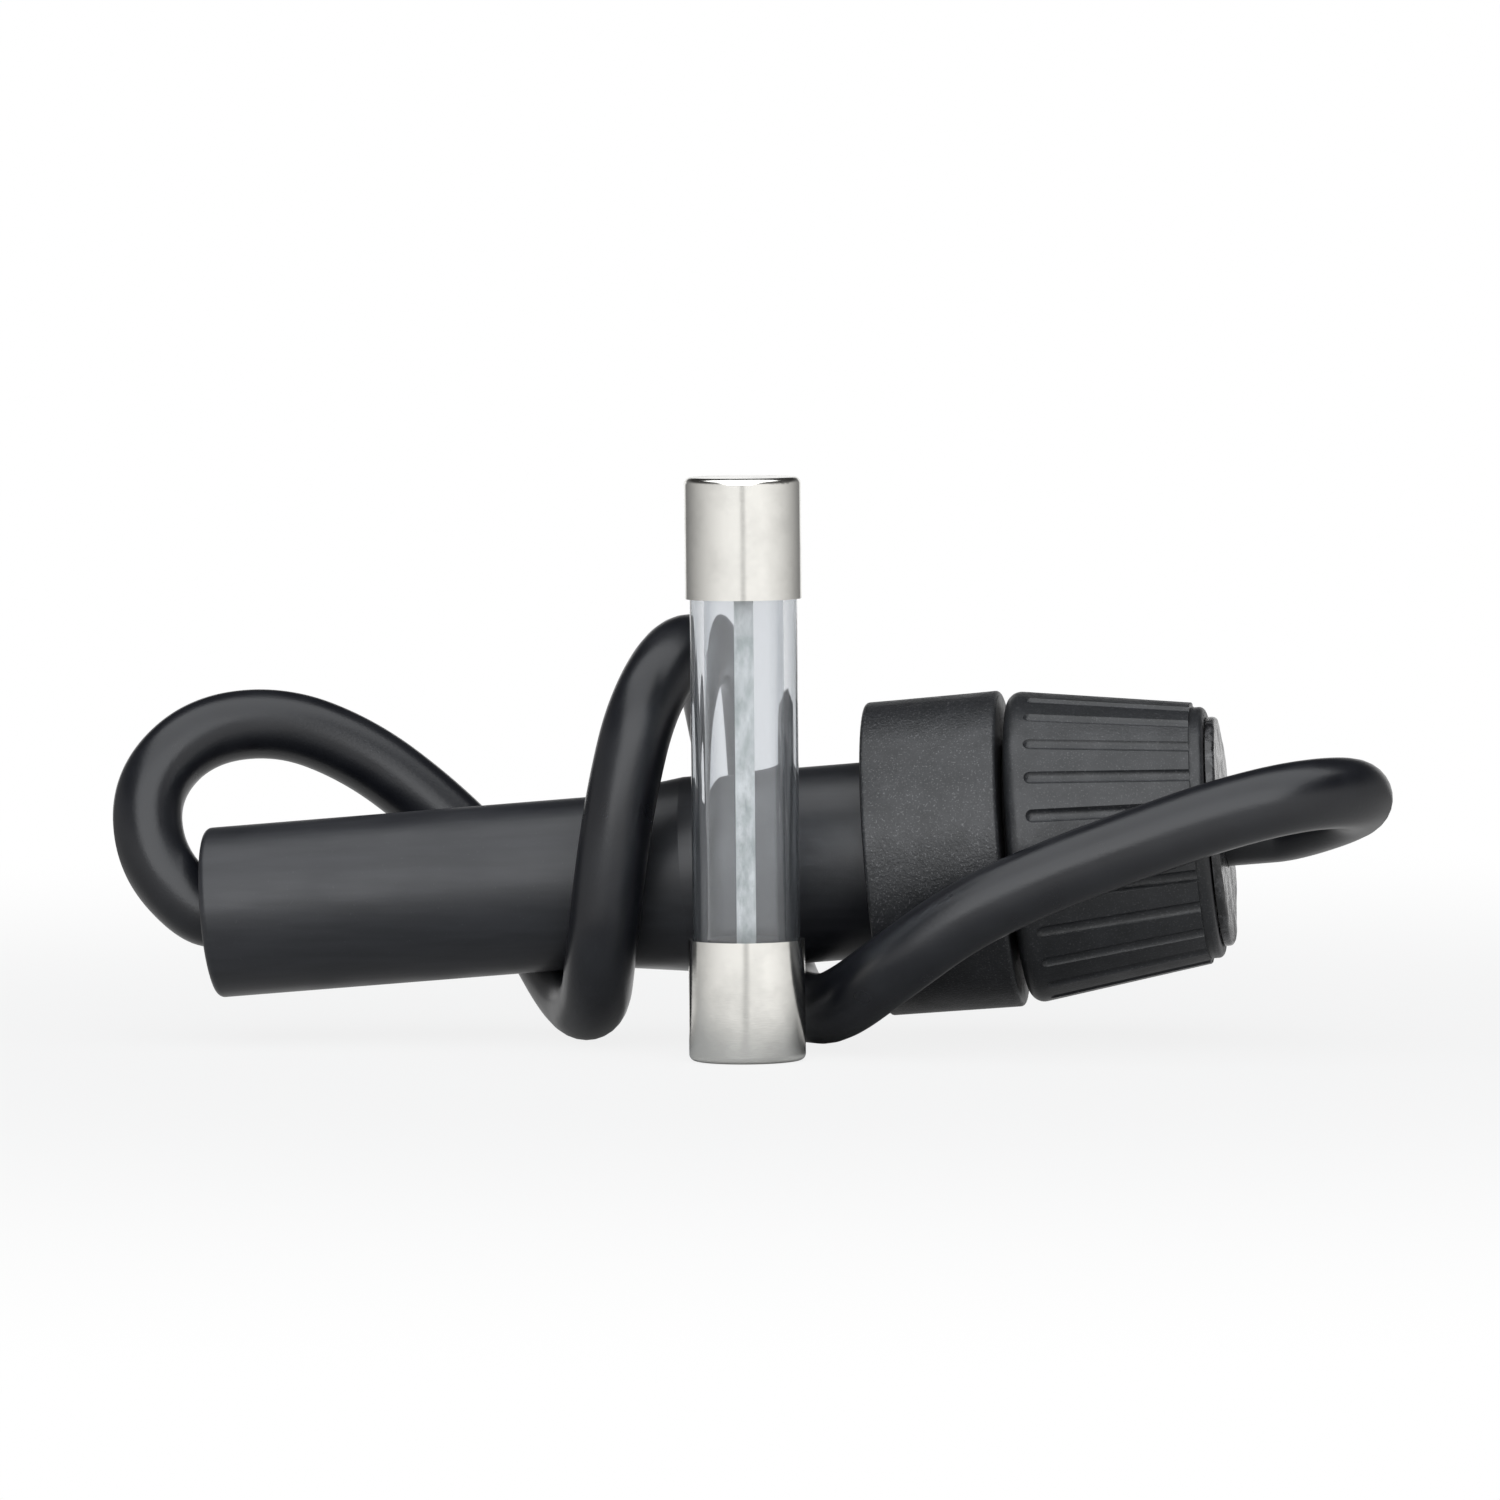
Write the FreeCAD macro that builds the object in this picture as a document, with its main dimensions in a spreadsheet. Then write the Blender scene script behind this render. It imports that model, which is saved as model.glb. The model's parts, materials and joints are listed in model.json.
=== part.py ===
import FreeCAD, Part
import math
import os
import re
import Sketcher

# Inline fuse holder with its lead and its glass fuse, lying as it came off a bench.
# Row frame: +X towards the knob, +Y away from the viewer, +Z up, floor at z = 0.
# Pieces of the holder are turned about their own X axis, which is the holder's axis:
# "along" is the distance from the sleeve's open end towards the knob.

DIMENSIONS = [
    ("pitch_angle", 4.5, "rise of the holder's axis towards the knob, degrees"),
    ("rest_gap", 0.09, "air between the sleeve and the lead that it lies on"),
    ("underpass_along", 20.8, "where the lead first passes under the sleeve"),
    ("fuse_radius", 3.175, "radius of the fuse's caps"),
    ("fuse_length", 31.75, "fuse from end to end"),
    ("cap_length", 6.6, "length of a fuse cap"),
    ("cap_wall", 0.22, "wall of a fuse cap"),
    ("cap_floor", 0.35, "end thickness of a fuse cap"),
    ("cap_round", 0.35, "rounding of a fuse cap's closed end"),
    ("cap_fit", 0.03, "air between a fuse cap and what it holds"),
    ("glass_wall", 0.75, "wall of the glass tube"),
    ("glass_inset", 0.9, "glass end inside the fuse's end"),
    ("element_width", 1.05, "width of the melting strip"),
    ("element_thickness", 0.12, "thickness of the melting strip"),
    ("bead_room", 0.675, "air between a solder bead and the glass"),
    ("bead_length", 1.3, "height of a solder bead in a fuse cap"),
    ("bead_taper", 0.6, "share of its radius that a bead keeps at its top"),
    ("fuse_along", 31.28, "standing fuse past the sleeve's open end"),
    ("fuse_distance", 12.3, "standing fuse in front of the holder's axis"),
    ("chamber_fit", 0.275, "air round the fuse in its chamber"),
    ("tube_wall", 0.925, "wall of the moulded tube"),
    ("neck_wall", 1.95, "wall of the neck inside the knob"),
    ("neck_length", 5.0, "length of the neck past the collar"),
    ("collar_length", 7.5, "length of the collar"),
    ("collar_radius", 8.7, "collar's radius beside the sleeve"),
    ("collar_draft", 0.07, "how much wider the collar is beside the knob"),
    ("collar_round", 0.25, "rounding of the collar's edges"),
    ("contact_fit", 0.12, "air round the fuse in a contact cup"),
    ("contact_wall", 0.405, "wall of the rear contact cup"),
    ("contact_floor", 0.4, "floor of a contact cup"),
    ("contact_flange", 0.5, "thickness of the flange round the rear cup's mouth"),
    ("contact_preload", 0.15, "how far a fuse lifts the front contact"),
    ("rear_cup_depth", 5.9, "depth of the rear contact cup"),
    ("core_radius", 1.03, "radius of the bare conductor"),
    ("core_fit", 0.04, "air round the conductor in a barrel"),
    ("bare_length", 2.6, "bare conductor in front of the rear wire barrel"),
    ("barrel_wall", 1.13, "wall of the rear wire barrel"),
    ("barrel_start", 7.6, "along, open end of the rear wire barrel"),
    ("barrel_length", 11.6, "length of the rear wire barrel"),
    ("barrel_depth", 6.5, "depth of the hole in the rear wire barrel"),
    ("front_cup_depth", 1.2, "depth of the front contact cup"),
    ("front_cup_wall", 0.9, "wall of the front contact cup"),
    ("front_barrel_wall", 0.63, "wall of the front wire barrel"),
    ("front_barrel_length", 1.4, "length of the front wire barrel"),
    ("solder_length", 1.0, "length of the rear solder fillet"),
    ("front_solder_length", 0.5, "length of the front solder fillet"),
    ("solder_inset", 0.35, "barrel edge left bare by a solder fillet"),
    ("sleeve_wall", 1.0, "wall of the sleeve"),
    ("sleeve_fit", 0.05, "air inside the sleeve round what it holds"),
    ("sleeve_rim_round", 0.4, "rounding of the sleeve's open end"),
    ("shoulder_lead", 3.6, "where the sleeve starts to widen, behind the cup's mouth"),
    ("shoulder_taper", 5.1, "length over which the sleeve widens"),
    ("lead_radius", 1.95, "outside radius of the insulated lead"),
    ("lead_fit", 0.05, "air round the lead in the grommet"),
    ("grommet_recess", 0.4, "grommet's face inside the sleeve's open end"),
    ("grommet_length", 3.8, "length of the grommet"),
    ("nib_radius", 0.75, "radius of a locking nib"),
    ("nib_stand", 0.05, "nib's centre above the neck"),
    ("nib_inset", 1.4, "nib's centre behind the neck's end"),
    ("nib_count", 2, "number of locking nibs"),
    ("nib_room", 0.2, "air round a nib in its groove"),
    ("entry_overrun", 1.0, "how far the groove's cutter stands out of the mouth"),
    ("turn_angle", 60.0, "turn that opens the knob, degrees"),
    ("turn_rise", 1.5, "how far that turn lifts the knob"),
    ("seal_section", 0.5, "radius of the seal ring's section"),
    ("seal_fit", 0.05, "air between the seal ring and its seats"),
    ("seal_room", 0.15, "air round the seal ring inside the knob"),
    ("knob_gap", 0.35, "gap between collar and knob"),
    ("knob_room", 0.25, "air between the neck and the knob"),
    ("knob_inset", 0.04, "how much narrower the knob's mouth is than the collar"),
    ("knob_length", 10.15, "knob from its mouth to where the flutes run out"),
    ("knob_taper", 1.49, "how much the knob's radius shrinks over that length"),
    ("knob_round", 0.8, "rounding of the knob's mouth"),
    ("knob_end_wall", 1.3, "thickness of the knob's end wall"),
    ("ring_length", 0.75, "length of the knob's end ring"),
    ("ring_step", 0.28, "how far the end ring steps in"),
    ("ring_round", 0.35, "rounding of the end ring"),
    ("flute_count", 24, "number of flutes"),
    ("flute_radius", 0.45, "radius of a flute's section"),
    ("flute_depth", 0.2, "depth of a flute"),
    ("flute_start", 1.6, "flute's rounded end from the knob's mouth"),
    ("flute_overrun", 0.2, "how far a flute's cutter runs out past the taper"),
    ("plug_inset", 0.64, "how much narrower the plug is than the end ring"),
    ("plug_disc", 0.45, "thickness of the plug's outer disc"),
    ("plug_round", 0.2, "rounding of the plug's outer disc"),
    ("plug_wall", 1.33, "wall of the plug's stem"),
    ("plug_lip_reach", 1.0, "how far the plug's inner lip stands out"),
    ("plug_lip", 0.4, "thickness of the plug's inner lip"),
    ("plug_fit", 0.1, "air between the plug and the knob"),
    ("plug_hole_fit", 0.12, "air round the lead in the plug"),
    ("washer_room", 1.15, "air round the spring washer in the knob"),
    ("washer_hole_fit", 0.2, "air round the lead in the spring washer"),
    ("washer_thickness", 0.4, "thickness of the spring washer"),
    ("washer_fit", 0.02, "air between the spring washer and the plug"),
    ("spring_wire", 0.24, "radius of the spring's wire"),
    ("spring_room", 0.81, "air between the spring and the front wire barrel"),
    ("spring_turns", 2.5, "turns of the spring"),
    ("spring_fit", 0.02, "air at each end of the spring"),
    ("exit_run", 1.1, "straight lead outside the sleeve before its first corner"),
    ("return_run", 3.7, "straight lead outside the plug after its last corner"),
]

# The lead's route between its two straight ends on the holder's axis, chosen from the photograph:
# round the open end, over and behind the sleeve, under it, up in front, over the top,
# down behind, under it again, then along the front of collar and knob and round to the plug.
LEAD_POINTS = [
    (-32.2, 3.7, 9.8),
    (-32.3, 4.9, 14.1),
    (-29.6, 6.6, 17.1),
    (-25.2, 8.5, 17.6),
    (-20.9, 9.8, 15.8),
    (-16.9, 10.4, 12.7),
    (-13.5, 10.5, 9.3),
    (-11.2, 10.1, 5.7),
    (-8.5, 6.3, 1.97),
    (-6.6, 0.6, 1.97),
    (-5.7, -3.6, 5.4),
    (-5.1, -4.0, 10.2),
    (-4.4, -3.7, 14.6),
    (-3.4, -2.9, 18.9),
    (-1.9, 0.9, 21.9),
    (-0.8, 6.1, 21.6),
    (-0.5, 10.2, 17.9),
    (0.3, 11.0, 13.1),
    (1.3, 11.0, 8.4),
    (2.4, 10.0, 4.4),
    (3.8, 6.2, 1.97),
    (5.3, 1.0, 1.97),
    (7.3, -4.3, 2.4),
    (10.7, -7.5, 4.9),
    (14.7, -8.0, 7.8),
    (19.3, -7.9, 9.9),
    (24.0, -7.6, 11.6),
    (28.6, -7.3, 13.2),
    (32.8, -6.7, 14.2),
    (35.8, -3.6, 14.2),
    (35.8, 0.4, 13.3),
]
ARC_SHARE = 0.45

# Ball cuts that make up a locking ramp.
RAMP_STEPS = 8

# Turns of the spring in each span of its path.
TURNS_IN_A_SPAN = 1

# How close an edge's place and radius come to the ones that a rounding asks for.
SAME_PLACE = 0.01

# How far the changes round one ring may differ in volume, as a share,
# and the least share of its body that a change must be.
SAME_CHANGE = 0.001
LEAST_CHANGE = 0.00001

doc = FreeCAD.newDocument("inline_fuse_holder")
sizes = doc.addObject("Spreadsheet::Sheet", "sizes")


def fill_sheet():
    for row, (alias, value, note) in enumerate(DIMENSIONS, start=1):
        sizes.set(f"A{row}", note)
        sizes.set(f"B{row}", str(value))
        sizes.setAlias(f"B{row}", alias)
    doc.recompute()


def bound(words):
    """An expression in the sheet's words, as the document's objects read it."""
    return re.sub(r"\b([a-z][a-z_]*_[a-z_]*)\b", r"sizes.\1", words)


def value(words):
    """The number that such an expression has now."""
    return float(sizes.evalExpression(bound(words)))


def origin_feature(body, role):
    for feature in body.Origin.OriginFeatures:
        if feature.Role == role:
            return feature
    raise ValueError(role)


def pin_coordinate(sketch, line, position, words, name):
    """Hold one coordinate of an outline's corner at an expression; zero lies on the axis."""
    across = name.startswith("radius")
    if words == "0":
        axis = -1 if across else -2
        sketch.addConstraint(Sketcher.Constraint("PointOnObject", line, position, axis))
        return
    kind = "DistanceY" if across else "DistanceX"
    index = sketch.addConstraint(
        Sketcher.Constraint(kind, -1, 1, line, position, value(words)))
    sketch.renameConstraint(index, name)
    sketch.setExpression(f"Constraints.{name}", bound(words))


def outline_sketch(body, corners):
    """A closed outline in the body's XZ plane, each corner at (along, radius)."""
    sketch = body.newObject("Sketcher::SketchObject", body.Name + "_outline")
    sketch.AttachmentSupport = [(origin_feature(body, "XZ_Plane"), "")]
    sketch.MapMode = "FlatFace"
    places = [FreeCAD.Vector(value(along), value(radius), 0) for along, radius in corners]
    for place, following in zip(places, places[1:] + places[:1]):
        sketch.addGeometry(Part.LineSegment(place, following), False)
    for line in range(len(corners)):
        following = (line + 1) % len(corners)
        sketch.addConstraint(Sketcher.Constraint("Coincident", line, 2, following, 1))
    for line, (along, radius) in enumerate(corners):
        pin_coordinate(sketch, line, 1, along, f"along_{line}")
        pin_coordinate(sketch, line, 1, radius, f"radius_{line}")
    return sketch


def turned(name, corners):
    """A body turned about its X axis from an outline."""
    body = doc.addObject("PartDesign::Body", name)
    sketch = outline_sketch(body, corners)
    turning = body.newObject("PartDesign::Revolution", name + "_turned")
    turning.Profile = sketch
    turning.ReferenceAxis = (sketch, ["H_Axis"])
    turning.Angle = 360
    sketch.Visibility = False
    doc.recompute()
    return body


def round_edges(body, radius, circles):
    """Round the circular edges at the given (along, radius) places."""
    base = body.Tip
    wanted = [(value(along), value(across)) for along, across in circles]
    names = []
    for number, edge in enumerate(base.Shape.Edges, start=1):
        if not isinstance(edge.Curve, Part.Circle):
            continue
        for along, across in wanted:
            same_centre = abs(edge.Curve.Center.x - along) < SAME_PLACE
            if same_centre and abs(edge.Curve.Radius - across) < SAME_PLACE:
                names.append(f"Edge{number}")
    rounding = body.newObject("PartDesign::Fillet", body.Name + "_rounding")
    rounding.Base = (base, names)
    rounding.Radius = value(radius)
    rounding.setExpression("Radius", bound(radius))
    doc.recompute()


def cutting_or_adding(body, kind, name, place, **dimensions):
    """A primitive feature of a body, with its size and place bound to the sheet."""
    feature = body.newObject(kind, name)
    for axis, words in zip("xyz", place):
        feature.setExpression(f"Placement.Base.{axis}", bound(words))
    for dimension, words in dimensions.items():
        feature.setExpression(dimension, bound(words))
    doc.recompute()
    return feature


def ring_of(body, feature, count):
    """Repeat a feature evenly round the body's X axis, with the same effect at every place."""
    pattern = body.newObject("PartDesign::PolarPattern", feature.Name + "_ring")
    pattern.Originals = [feature]
    pattern.Axis = (origin_feature(body, "X_Axis"), [""])
    pattern.Angle = 360
    pattern.setExpression("Occurrences", bound(count))
    body.Tip = pattern
    doc.recompute()
    before = feature.BaseFeature.Shape.Volume
    one = feature.Shape.Volume - before
    ring = pattern.Shape.Volume - before
    if abs(one) < LEAST_CHANGE * before:
        raise RuntimeError(f"{feature.Name} changes nothing")
    if abs(ring - one * value(count)) > SAME_CHANGE * abs(ring):
        raise RuntimeError(f"{feature.Name} is missing somewhere on its ring")


def round_ended_cut(body, name, place, heading, radius, length):
    """Cut a channel of round section with a ball-shaped start.

    It starts at place, as along, sideways and up, and runs level with the body's XZ plane,
    turned by heading from the X axis.
    """
    along, sideways, up = place
    sketch = body.newObject("Sketcher::SketchObject", name + "_outline")
    sketch.AttachmentSupport = [(origin_feature(body, "XZ_Plane"), "")]
    sketch.MapMode = "FlatFace"
    sketch.setExpression("AttachmentOffset.Base.x", bound(along))
    sketch.setExpression("AttachmentOffset.Base.y", bound(up))
    sketch.setExpression("AttachmentOffset.Base.z", bound(f"-{sideways}"))
    sketch.setExpression("AttachmentOffset.Rotation.Angle", bound(heading))
    ball, reach = value(radius), value(length)
    circle = Part.Circle(FreeCAD.Vector(), FreeCAD.Vector(0, 0, 1), ball)
    sketch.addGeometry(Part.ArcOfCircle(circle, math.pi / 2, math.pi), False)
    corners = [(0, ball), (reach, ball), (reach, 0), (-ball, 0)]
    places = [FreeCAD.Vector(*corner, 0) for corner in corners]
    for start, end in zip(places, places[1:]):
        sketch.addGeometry(Part.LineSegment(start, end), False)
    arc, side, face, middle = range(4)
    arc_centre, h_axis, v_axis = 3, -1, -2
    for first, end, second, start in (
            (arc, 1, side, 1), (side, 2, face, 1), (face, 2, middle, 1), (middle, 2, arc, 2)):
        sketch.addConstraint(Sketcher.Constraint("Coincident", first, end, second, start))
    sketch.addConstraint(Sketcher.Constraint("Coincident", arc, arc_centre, h_axis, 1))
    sketch.addConstraint(Sketcher.Constraint("PointOnObject", arc, 1, v_axis))
    sketch.addConstraint(Sketcher.Constraint("PointOnObject", arc, 2, h_axis))
    sketch.addConstraint(Sketcher.Constraint("Horizontal", side))
    sketch.addConstraint(Sketcher.Constraint("Vertical", face))
    sketch.addConstraint(Sketcher.Constraint("PointOnObject", face, 2, h_axis))
    for constraint, words in (
            (Sketcher.Constraint("Radius", arc, ball), radius),
            (Sketcher.Constraint("DistanceX", h_axis, 1, side, 2, reach), length)):
        index = sketch.addConstraint(constraint)
        sketch.setExpression(f"Constraints[{index}]", bound(words))
    channel = body.newObject("PartDesign::Groove", name)
    channel.Profile = sketch
    channel.ReferenceAxis = (sketch, ["H_Axis"])
    channel.Angle = 360
    sketch.Visibility = False
    doc.recompute()
    return channel


# Radii that several pieces share, from the inside out.
CHAMBER = "(fuse_radius + chamber_fit)"
CORE_HOLE = "(core_radius + core_fit)"
BARREL = f"({CORE_HOLE} + barrel_wall)"
FRONT_BARREL = f"({CORE_HOLE} + front_barrel_wall)"
CUP_BORE = "(fuse_radius + contact_fit)"
CUP = f"({CUP_BORE} + contact_wall)"
SLEEVE_BORE = f"({CUP} + sleeve_fit)"
SLEEVE = f"({SLEEVE_BORE} + sleeve_wall)"
TUBE = f"({CHAMBER} + tube_wall)"
SHOULDER_BORE = f"({TUBE} + sleeve_fit)"
SHOULDER = f"({SHOULDER_BORE} + sleeve_wall)"
NECK = f"({CHAMBER} + neck_wall)"
NIB_CENTRE = f"({NECK} + nib_stand)"
COLLAR_WIDE = "(collar_radius + collar_draft)"
KNOB_BORE = f"({NECK} + knob_room)"
KNOB_WIDE = f"({COLLAR_WIDE} - knob_inset)"
KNOB_NARROW = f"({KNOB_WIDE} - knob_taper)"
RING = f"({KNOB_NARROW} - ring_step)"
PLUG = f"({RING} - plug_inset)"
PLUG_HOLE = "(lead_radius + plug_hole_fit)"
PLUG_STEM = f"({PLUG_HOLE} + plug_wall)"
SEAL = f"({NECK} + seal_section + seal_fit)"

# Stations that several pieces share, along the axis from the sleeve's open end.
REAR_LEAD_END = "(barrel_start - bare_length)"
CUP_BACK = "(barrel_start + barrel_length)"
FUSE_SEAT = f"({CUP_BACK} + contact_floor)"
CUP_MOUTH = f"({FUSE_SEAT} + rear_cup_depth)"
SHOULDER_START = f"({CUP_MOUTH} - shoulder_lead)"
SHOULDER_END = f"({SHOULDER_START} + shoulder_taper)"
WIDENING = f"(({SHOULDER} - {SLEEVE}) / shoulder_taper)"
FRONT_CUP_FLOOR = f"({FUSE_SEAT} + fuse_length - contact_preload)"
FRONT_CUP_END = f"({FRONT_CUP_FLOOR} + contact_floor)"
FRONT_BARREL_END = f"({FRONT_CUP_END} + front_barrel_length)"
NECK_END = f"({FRONT_CUP_FLOOR} - front_cup_depth)"
COLLAR_FRONT = f"({NECK_END} - neck_length)"
SLEEVE_END = f"({COLLAR_FRONT} - collar_length)"
NIB_ALONG = f"({NECK_END} - nib_inset)"
SEAL_CENTRE = f"({COLLAR_FRONT} + seal_section + seal_fit)"
KNOB_MOUTH = f"({COLLAR_FRONT} + knob_gap)"
FLUTE_END = f"({KNOB_MOUTH} + knob_length)"
RING_END = f"({FLUTE_END} + ring_length)"
KNOB_WALL_INSIDE = f"({RING_END} - knob_end_wall)"
PLUG_LIP_FACE = f"({KNOB_WALL_INSIDE} - plug_fit - plug_lip)"
PLUG_DISC_BACK = f"({RING_END} + plug_fit)"
PLUG_DISC_FRONT = f"({PLUG_DISC_BACK} + plug_disc)"
WASHER_FRONT = f"({PLUG_LIP_FACE} - washer_fit)"
WASHER_BACK = f"({WASHER_FRONT} - washer_thickness)"


def axis_height():
    """Height of the holder's axis at the sleeve's open end.

    The sleeve lies on the lead where the lead passes under it.
    """
    slope = math.radians(value("pitch_angle"))
    over_lead = 2 * value("lead_radius") + value("rest_gap")
    at_underpass = over_lead + value(SLEEVE) / math.cos(slope)
    return at_underpass - value("underpass_along") * math.sin(slope)


def holder_start():
    """Half the holder's reach in X, so that the row's origin lies under its middle."""
    slope = math.radians(value("pitch_angle"))
    reach = value(PLUG_DISC_FRONT) * math.cos(slope)
    return (reach + (value(PLUG) - value(SLEEVE)) * math.sin(slope)) / 2


def holder_offset():
    """Holder's axis behind the origin, which lies midway between collar and fuse in Y."""
    return (value("fuse_distance") + value("fuse_radius") - value(COLLAR_WIDE)) / 2


def holder_placement():
    base = FreeCAD.Vector(-holder_start(), holder_offset(), axis_height())
    tilt = FreeCAD.Rotation(FreeCAD.Vector(0, 1, 0), -value("pitch_angle"))
    return FreeCAD.Placement(base, tilt)


def fuse_placement():
    """The fuse's own X axis stands upright."""
    across = value("fuse_along") - holder_start()
    base = FreeCAD.Vector(across, holder_offset() - value("fuse_distance"), 0)
    return FreeCAD.Placement(base, FreeCAD.Rotation(FreeCAD.Vector(0, 1, 0), -90))


def in_holder(piece):
    piece.Placement = holder_placement().multiply(piece.Placement)
    return piece


def with_fuse(piece):
    piece.Placement = fuse_placement().multiply(piece.Placement)
    return piece


def make_sleeve():
    sleeve = turned("insulating_sleeve", [
        ("0", SLEEVE_BORE),
        ("0", SLEEVE),
        (SHOULDER_START, SLEEVE),
        (SHOULDER_END, SHOULDER),
        (SLEEVE_END, SHOULDER),
        (SLEEVE_END, SHOULDER_BORE),
        (SHOULDER_END, SHOULDER_BORE),
        (SHOULDER_START, SLEEVE_BORE),
    ])
    round_edges(sleeve, "sleeve_rim_round", [("0", SLEEVE)])
    return in_holder(sleeve)


def make_grommet():
    face = "grommet_recess"
    inside = "(grommet_recess + grommet_length)"
    hole = "(lead_radius + lead_fit)"
    outside = f"({SLEEVE_BORE} - sleeve_fit)"
    return in_holder(turned("rear_grommet", [
        (face, hole), (face, outside), (inside, outside), (inside, hole)]))


def make_moulded_body():
    """Tube with the fuse chamber, collar and neck in one moulding, with two locking nibs."""
    tail = f"({CUP} + ({CUP_MOUTH} - {SHOULDER_START}) * {WIDENING})"
    body = turned("moulded_body", [
        (CUP_MOUTH, CHAMBER),
        (CUP_MOUTH, tail),
        (SHOULDER_END, TUBE),
        (SLEEVE_END, TUBE),
        (SLEEVE_END, "collar_radius"),
        (COLLAR_FRONT, COLLAR_WIDE),
        (COLLAR_FRONT, NECK),
        (NECK_END, NECK),
        (NECK_END, CHAMBER),
    ])
    round_edges(body, "collar_round", [
        (SLEEVE_END, "collar_radius"), (COLLAR_FRONT, COLLAR_WIDE)])
    nib = cutting_or_adding(
        body, "PartDesign::AdditiveSphere", "locking_nib",
        (NIB_ALONG, "0", NIB_CENTRE), Radius="nib_radius")
    ring_of(body, nib, "nib_count")
    return in_holder(body)


def make_seal_ring():
    ring = doc.addObject("Part::Torus", "neck_seal_ring")
    ring.setExpression("Radius1", bound(SEAL))
    ring.setExpression("Radius2", bound("seal_section"))
    base = FreeCAD.Vector(value(SEAL_CENTRE), 0, 0)
    ring.Placement = FreeCAD.Placement(base, FreeCAD.Rotation(FreeCAD.Vector(0, 1, 0), 90))
    return in_holder(ring)


def make_rear_contact():
    """Wire barrel and fuse cup turned as one; its flange is trapped behind the moulded body."""
    flange_back = f"({CUP_MOUTH} - contact_flange)"
    flange = f"({CUP} + ({flange_back} - {SHOULDER_START}) * {WIDENING})"
    hole_end = "(barrel_start + barrel_depth)"
    return in_holder(turned("rear_contact", [
        (hole_end, "0"),
        (hole_end, CORE_HOLE),
        ("barrel_start", CORE_HOLE),
        ("barrel_start", BARREL),
        (CUP_BACK, BARREL),
        (CUP_BACK, CUP),
        (flange_back, CUP),
        (flange_back, flange),
        (CUP_MOUTH, flange),
        (CUP_MOUTH, CUP_BORE),
        (FUSE_SEAT, CUP_BORE),
        (FUSE_SEAT, "0"),
    ]))


def make_front_contact():
    """Cup and wire barrel turned as one; the cup's rim rests on the neck's end."""
    cup = f"({CUP_BORE} + front_cup_wall)"
    return in_holder(turned("front_contact", [
        (NECK_END, CUP_BORE),
        (NECK_END, cup),
        (FRONT_CUP_END, cup),
        (FRONT_CUP_END, FRONT_BARREL),
        (FRONT_BARREL_END, FRONT_BARREL),
        (FRONT_BARREL_END, CORE_HOLE),
        (FRONT_CUP_END, CORE_HOLE),
        (FRONT_CUP_END, "0"),
        (FRONT_CUP_FLOOR, "0"),
        (FRONT_CUP_FLOOR, CUP_BORE),
    ]))


def make_core(name, start, end):
    core = doc.addObject("Part::Cylinder", name)
    core.setExpression("Radius", bound("core_radius"))
    core.setExpression("Height", bound(f"{end} - {start}"))
    base = FreeCAD.Vector(value(start), 0, 0)
    core.Placement = FreeCAD.Placement(base, FreeCAD.Rotation(FreeCAD.Vector(0, 1, 0), 90))
    return in_holder(core)


def make_solder(name, barrel_face, barrel_radius, length, towards_lead):
    """A cone of solder round the conductor, on the open face of a wire barrel."""
    tip = f"({barrel_face} {towards_lead} {length})"
    edge = f"({barrel_radius} - solder_inset)"
    return in_holder(turned(name, [
        (barrel_face, CORE_HOLE), (barrel_face, edge), (tip, CORE_HOLE)]))


def make_end_plug():
    """Soft plug in the knob's end wall; the lead goes in through it and the knob turns on it."""
    lip = f"({PLUG_STEM} + plug_lip_reach)"
    lip_front = f"({KNOB_WALL_INSIDE} - plug_fit)"
    plug = turned("knob_end_plug", [
        (PLUG_LIP_FACE, PLUG_HOLE),
        (PLUG_LIP_FACE, lip),
        (lip_front, lip),
        (lip_front, PLUG_STEM),
        (PLUG_DISC_BACK, PLUG_STEM),
        (PLUG_DISC_BACK, PLUG),
        (PLUG_DISC_FRONT, PLUG),
        (PLUG_DISC_FRONT, PLUG_HOLE),
    ])
    round_edges(plug, "plug_round", [(PLUG_DISC_FRONT, PLUG)])
    return in_holder(plug)


def make_spring_washer():
    hole = "(lead_radius + washer_hole_fit)"
    rim = f"({KNOB_BORE} - washer_room)"
    return in_holder(turned("knob_spring_washer", [
        (WASHER_BACK, hole), (WASHER_BACK, rim), (WASHER_FRONT, rim), (WASHER_FRONT, hole)]))


def make_spring():
    """Coil spring that presses the front contact onto the neck."""
    low = f"({FRONT_CUP_END} + spring_fit + spring_wire)"
    high = f"({WASHER_BACK} - spring_fit - spring_wire)"
    radius = f"({FRONT_BARREL} + spring_room + spring_wire)"
    coil = doc.addObject("Part::Helix", "spring_coil")
    coil.setExpression("Radius", bound(radius))
    coil.setExpression("Height", bound(f"{high} - {low}"))
    coil.setExpression("Pitch", bound(f"({high} - {low}) / spring_turns"))
    coil.SegmentLength = TURNS_IN_A_SPAN
    section = doc.addObject("Part::Circle", "spring_section")
    section.setExpression("Radius", bound("spring_wire"))
    section.setExpression("Placement.Base.x", bound(radius))
    section.Placement.Rotation = FreeCAD.Rotation(FreeCAD.Vector(1, 0, 0), 90)
    doc.recompute()
    spring = doc.addObject("Part::Sweep", "knob_spring")
    spring.Sections = [section]
    spring.Spine = (coil, [f"Edge{n + 1}" for n in range(len(coil.Shape.Edges))])
    spring.Solid = True
    spring.Frenet = True
    doc.recompute()
    base = FreeCAD.Vector(value(low), 0, 0)
    spring.Placement = FreeCAD.Placement(base, FreeCAD.Rotation(FreeCAD.Vector(0, 1, 0), 90))
    return in_holder(spring)


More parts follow.
